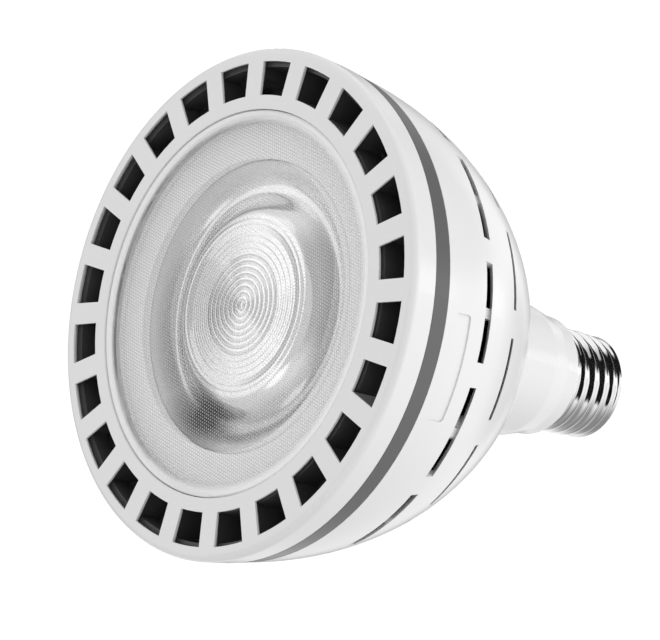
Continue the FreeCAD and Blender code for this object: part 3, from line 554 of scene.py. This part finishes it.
class LAMP_OT_screw_base(bpy.types.Operator):
    """Makes the plated screw shell with its helical thread, and finishes the base's end"""

    bl_idname = "lamp.screw_base"
    bl_label = "Screw Base"

    def execute(self, context):
        sizes = context.scene.lamp_sizes
        looks = context.scene.lamp_looks
        low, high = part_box("screw_shell")
        crest, wall, mouth = sizes.thread_radius, 0.0004, 0.0096
        skirt = low.z + 0.0018
        shoulder = high.z - 0.0012
        rows, slack = 84, 1e-6
        skirt_edge = [(crest - wall, low.z), (crest, low.z)]
        tube = [(crest, skirt + (shoulder - skirt) * i / rows) for i in range(rows + 1)]
        rolled_edge = [(crest - 0.0002, high.z - 0.0005), (crest - 0.0008, high.z)]
        mouth_edge = [(mouth, high.z), (mouth, high.z - wall)]
        mesh = spun_outline(skirt_edge + tube + rolled_edge + mouth_edge, steps=128)
        for vert in mesh.verts:
            if skirt - slack < vert.co.z < shoulder + slack:
                self.cut_thread(vert, sizes, skirt, shoulder)
        bmesh.ops.recalc_face_normals(mesh, faces=mesh.faces)
        plate = plated_metal("nickel_plate", looks.plating)
        piece = shaded_piece("threaded_shell", mesh, plate, "screw_shell")
        show("centre_contact", plated_metal("contact_plate", looks.plating, roughness=0.2))
        glass = soft_matte("base_glass", (0.02, 0.02, 0.022), roughness=0.12, size=0.003)
        show("base_insulator", glass)
        return {"FINISHED"}

    def cut_thread(self, vert, sizes, skirt, shoulder):
        """Moves a point of the plain tube inward to its place on the helix."""
        fade = 0.0012
        taper_length, taper_depth = 0.0055, 0.0007
        angle = math.atan2(vert.co.y, vert.co.x)
        turn = (vert.co.z - sizes.thread_start) / sizes.thread_pitch - angle / math.tau
        root = 0.5 - 0.5 * math.cos(math.tau * turn)
        run_in = min(1.0, max(0.0, (vert.co.z - skirt) / fade))
        run_out = min(1.0, max(0.0, (shoulder - vert.co.z) / fade))
        taper = min(1.0, max(0.0, (vert.co.z - shoulder) / taper_length + 1.0))
        depth = sizes.thread_depth * root * run_in * run_out + taper_depth * taper**2
        radius = math.hypot(vert.co.x, vert.co.y)
        factor = (radius - depth) / radius
        vert.co.x *= factor
        vert.co.y *= factor


class LAMP_OT_casing(bpy.types.Operator):
    """Finishes the bezel, the bowl and the trim band"""

    bl_idname = "lamp.casing"
    bl_label = "Casing"

    def execute(self, context):
        looks = context.scene.lamp_looks
        white = moulded_plastic("white_plastic", looks.plastic, roughness=0.2)
        for node in ("front_bezel", "rear_shell"):
            show(node, white)
        show("trim_band", moulded_plastic("grey_band", looks.band, roughness=0.24, gloss=0.2))
        return {"FINISHED"}


class LAMP_OT_collimator(bpy.types.Operator):
    """Makes the collimator: rings at its middle, a bead, a soft channel and the flank behind"""

    bl_idname = "lamp.collimator"
    bl_label = "Collimator"

    def execute(self, context):
        sizes = context.scene.lamp_sizes
        low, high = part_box("collimator")
        radius = high.x - OPTIC_FLANGE
        rim_in, rim_back = 0.0005, 0.0002
        flange_lift, flange_thickness = 0.0015, 0.0012
        throat_radius = 0.008
        flange_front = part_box("optic_ring")[0].z + flange_lift
        flange_back = flange_front + flange_thickness
        outline = self.front(sizes, low.z, radius - rim_in)
        outline += [(radius, outline[-1][1] + rim_back), (radius, flange_front)]
        outline += [(high.x, flange_front), (high.x, flange_back)]
        outline += self.flank(radius, flange_back, throat_radius, high.z)
        outline += self.light_recess(high.z)
        mesh = spun_outline(outline, steps=160)
        bmesh.ops.recalc_face_normals(mesh, faces=mesh.faces)
        optic = clear_optic("clear_optic", sizes.ring_pitch, rings_end=8 * sizes.ring_pitch)
        piece = shaded_piece("ringed_collimator", mesh, optic, "collimator")
        return {"FINISHED"}

    def front(self, sizes, front, rim):
        """Outline of the front, from the axis over rings, bead and channel to the rim."""
        bowing, first_rise = 1.5, 0.0001
        deep_rings_end = 0.0113
        bead_start, bead_end, bead_height, bead_steps = 0.0188, 0.0206, 0.0003, 8
        channel_middle, channel_depth, rim_depth = rim - 0.0056, 0.0046, 0.0012
        points = []
        for ring in range(math.floor(bead_start / sizes.ring_pitch)):
            start = ring * sizes.ring_pitch
            depth = sizes.ring_depth * (1 if start < deep_rings_end else 0.5)
            for share, sunk in RING_OUTLINE:
                r = start + share * sizes.ring_pitch
                points.append((r, front + first_rise + bowing * r * r + sunk * depth))
        edge = front + first_rise + bowing * bead_start**2
        for step in range(bead_steps + 1):
            share = step / bead_steps
            r = bead_start + share * (bead_end - bead_start)
            points.append((r, edge - bead_height * math.sin(math.pi * share)))
        points += self.slope(bead_end, edge, channel_middle, edge + channel_depth)
        points += self.slope(channel_middle, edge + channel_depth, rim, edge + rim_depth)
        return points

    def slope(self, r, z, end_r, end_z):
        """Points of a smooth S from one place to another, without the first."""
        steps = 18
        points = []
        for step in range(1, steps + 1):
            share = step / steps
            rise = (1 - math.cos(math.pi * share)) / 2
            points.append((r + share * (end_r - r), z + rise * (end_z - z)))
        return points

    def flank(self, r, z, end_r, end_z):
        """Points of the bowed flank from the flange back to the throat."""
        steps = 16
        bow_out, bow_back = 0.00175, 0.0028
        points = [(r, z)]
        for step in range(1, steps):
            share = step / steps
            bow = math.sin(math.pi * share)
            out = share * (end_r - r) + bow_out * bow
            back = share * (end_z - z) + bow_back * bow
            points.append((r + out, z + back))
        return points + [(end_r, end_z)]

    def light_recess(self, back):
        """Points of the tapered, domed recess over the light source, from its mouth to the axis."""
        return [(0.0063, back), (0.0057, back - 0.0078), (0.003, back - 0.009), (0, back - 0.0095)]


class LAMP_OT_optics(bpy.types.Operator):
    """Finishes the lens cover, what holds the collimator, and the light source"""

    bl_idname = "lamp.optics"
    bl_label = "Optics"

    def execute(self, context):
        looks = context.scene.lamp_looks
        sizes = context.scene.lamp_sizes
        rim_reach, prism_depth = 0.003, 0.0003
        lens_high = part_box("lens_cover")[1]
        lens = prism_lens(
            "prism_lens",
            sizes.prism_pitch,
            back=lens_high.z - prism_depth,
            optic_radius=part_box("collimator")[1].x - OPTIC_FLANGE,
            rim_radius=lens_high.x - rim_reach,
        )
        show("lens_cover", lens)
        show("optic_ring", moulded_plastic("ring_plastic", (0.92, 0.92, 0.92), roughness=0.35))
        show("optic_holder", moulded_plastic("holder_plastic", looks.plastic, roughness=0.4))
        show("lens_seal", soft_matte("seal_rubber", (0.6, 0.6, 0.6), roughness=0.6))
        show("led_emitter", phosphor("phosphor"))
        show("led_package", soft_matte("ceramic", (0.8, 0.79, 0.76), roughness=0.5))
        show("led_board", soft_matte("board_lacquer", (0.75, 0.75, 0.74), roughness=0.4))
        return {"FINISHED"}


class LAMP_OT_heat_sink(bpy.types.Operator):
    """Finishes the heat sink, its pad and the screws"""

    bl_idname = "lamp.heat_sink"
    bl_label = "Heat Sink"

    def execute(self, context):
        show("heat_sink", coated_metal("black_coat", context.scene.lamp_looks.metal))
        show("thermal_pad", soft_matte("pad_rubber", (0.3, 0.31, 0.33), roughness=0.8))
        steel = plated_metal("zinc_plate", (0.55, 0.55, 0.56), roughness=0.3)
        for node in ("board_screws", "cup_screws", "shell_screws"):
            show(node, steel)
        return {"FINISHED"}


class LAMP_OT_driver(bpy.types.Operator):
    """Finishes the driver's cup, board, parts and leads"""

    bl_idname = "lamp.driver"
    bl_label = "Driver"

    def execute(self, context):
        cup = moulded_plastic("cup_plastic", (0.7, 0.69, 0.66), roughness=0.5)
        for node in ("driver_cup", "cup_lid"):
            show(node, cup)
        show("driver_board", circuit_board("board_green"))
        self.finish_parts()
        self.finish_leads()
        return {"FINISHED"}

    def finish_parts(self):
        ferrite = soft_matte("ferrite", (0.04, 0.04, 0.042), roughness=0.65, size=0.001)
        for node in ("transformer_core", "line_choke"):
            show(node, ferrite)
        tape = soft_matte("yellow_tape", (0.75, 0.5, 0.05), roughness=0.4, size=0.002)
        show("transformer_bobbin", tape)
        sleeve = soft_matte("can_sleeve", (0.015, 0.015, 0.025), roughness=0.25, size=0.003)
        for node in ("bulk_capacitor", "output_capacitor"):
            show(node, sleeve)
        film = soft_matte("film_case", (0.55, 0.08, 0.02), roughness=0.3, size=0.002)
        show("film_capacitor", film)
        lacquer = soft_matte("resistor_lacquer", (0.14, 0.28, 0.14), roughness=0.4, size=0.001)
        show("fusible_resistor", lacquer)
        chip = soft_matte("chip_mould", (0.02, 0.02, 0.02), roughness=0.55, size=0.001)
        for node in ("bridge_rectifier", "driver_chip"):
            show(node, chip)

    def finish_leads(self):
        leads = {
            "red_lead": ((0.5, 0.02, 0.01), ("led_lead_plus",)),
            "black_lead": ((0.02, 0.02, 0.02), ("led_lead_minus",)),
            "white_lead": ((0.7, 0.7, 0.7), ("contact_lead", "rim_lead")),
        }
        for name, (colour, nodes) in leads.items():
            insulation = soft_matte(name, colour, roughness=0.4, size=0.001)
            for node in nodes:
                show(node, insulation)


class LAMP_OT_stage(bpy.types.Operator):
    """Makes the pale floor, the white surroundings, the soft light and the camera"""

    bl_idname = "lamp.stage"
    bl_label = "Stage"

    def execute(self, context):
        stage = context.scene.lamp_stage
        turn = Euler(stage.camera_turn, "XYZ").to_matrix()
        self.make_camera(context.scene, stage, turn)
        self.make_floor(context.scene, stage)
        self.make_world(context.scene, turn)
        self.make_light(context.scene, stage, turn)
        context.scene.view_settings.view_transform = "Standard"
        return {"FINISHED"}

    def make_camera(self, scene, stage, turn):
        data = bpy.data.cameras.new("camera")
        data.lens = stage.camera_lens
        data.sensor_width = 36.0
        camera = bpy.data.objects.new("camera", data)
        camera.matrix_world = Matrix.Translation(stage.camera_place) @ turn.to_4x4()
        scene.collection.objects.link(camera)
        scene.camera = camera

    def make_floor(self, scene, stage):
        mesh = bmesh.new()
        bmesh.ops.create_circle(mesh, cap_ends=True, segments=64, radius=stage.floor_radius)
        bmesh.ops.translate(mesh, vec=(0, 0, stage.floor_height), verts=mesh.verts)
        data = bpy.data.meshes.new("floor")
        mesh.to_mesh(data)
        mesh.free()
        data.materials.append(soft_matte("pale_floor", (0.8, 0.8, 0.8), roughness=0.7, size=0.4))
        floor = bpy.data.objects.new("floor", data)
        scene.collection.objects.link(floor)

    def make_world(self, scene, turn):
        """White to the camera, brighter on the right, and with darker places to reflections."""
        seen_light, even_light, right_gain, below_loss = 1.05, 0.79, 0.37, 0.16
        world = bpy.data.worlds.new("surroundings")
        nodes = Nodes(world)
        way = nodes.node("ShaderNodeTexCoord")[COORDINATE_WAY]
        right = nodes.lobe(way, turn @ Vector((0.99, 0, 0.1)), inner=20, outer=110)
        below = nodes.lobe(way, turn @ Vector((0, -1, 0)), inner=20, outer=90)
        plain = right * right_gain - below * below_loss + even_light
        mirrored = self.reflected_light(nodes, way, turn)
        path = nodes.node("ShaderNodeLightPath")
        seen, glossy = path[PATH_CAMERA], path[PATH_GLOSSY]
        strength = seen * seen_light + glossy * mirrored + (1 - seen - glossy) * plain
        background = nodes.tree.nodes["Background"]
        nodes.connect(background.inputs["Strength"], strength)
        background.inputs["Color"].default_value = (1, 1, 1, 1)
        scene.world = world

    def reflected_light(self, nodes, way, turn):
        """An even light with all the places that only reflections see."""
        light, least = 1.02, 0.004
        for place, inner, outer, change in REFLECTED_PLACES:
            middle = (turn @ Vector(place)).normalized()
            light = nodes.lobe(way, middle, inner, outer) * change + light
        return light.math("MAXIMUM", least)

    def make_light(self, scene, stage, turn):
        """A soft box that looks at the middle of the lamp and isn't seen in reflections."""
        middle = Vector((0, 0, 0.05))
        offset = turn @ Vector(stage.light_place)
        aim = (-offset).to_track_quat("-Z", "Y").to_matrix().to_4x4()
        data = bpy.data.lights.new("key", "AREA")
        data.size = stage.light_size
        data.energy = stage.light_power
        light = bpy.data.objects.new("key", data)
        light.visible_glossy = False
        light.matrix_world = Matrix.Translation(middle + offset) @ aim
        scene.collection.objects.link(light)


class LAMP_PT_panel(bpy.types.Panel):
    """The lamp's sizes, finishes and stage, and the buttons that make it"""

    bl_idname = "LAMP_PT_panel"
    bl_label = "Lamp"
    bl_space_type = "VIEW_3D"
    bl_region_type = "UI"
    bl_category = "Lamp"

    def draw(self, context):
        for group in (context.scene.lamp_sizes, context.scene.lamp_looks, context.scene.lamp_stage):
            for name in group.bl_rna.properties.keys():
                if name not in ("rna_type", "name"):
                    self.layout.prop(group, name)
        for operator in OPERATORS:
            self.layout.operator(operator.bl_idname)


GROUPS = {"lamp_sizes": LampSizes, "lamp_looks": LampLooks, "lamp_stage": LampStage}
OPERATORS = (
    LAMP_OT_stage,
    LAMP_OT_casing,
    LAMP_OT_collimator,
    LAMP_OT_optics,
    LAMP_OT_heat_sink,
    LAMP_OT_screw_base,
    LAMP_OT_driver,
)


def register():
    for cls in (*GROUPS.values(), *OPERATORS, LAMP_PT_panel):
        bpy.utils.register_class(cls)
    for name, group in GROUPS.items():
        setattr(bpy.types.Scene, name, bpy.props.PointerProperty(type=group))


def unregister():
    for name in GROUPS:
        delattr(bpy.types.Scene, name)
    for cls in reversed((*GROUPS.values(), *OPERATORS, LAMP_PT_panel)):
        bpy.utils.unregister_class(cls)


def main():
    register()
    bpy.ops.lamp.stage()
    bpy.ops.lamp.casing()
    bpy.ops.lamp.collimator()
    bpy.ops.lamp.optics()
    bpy.ops.lamp.heat_sink()
    bpy.ops.lamp.screw_base()
    bpy.ops.lamp.driver()


if __name__ == "__main__":
    main()
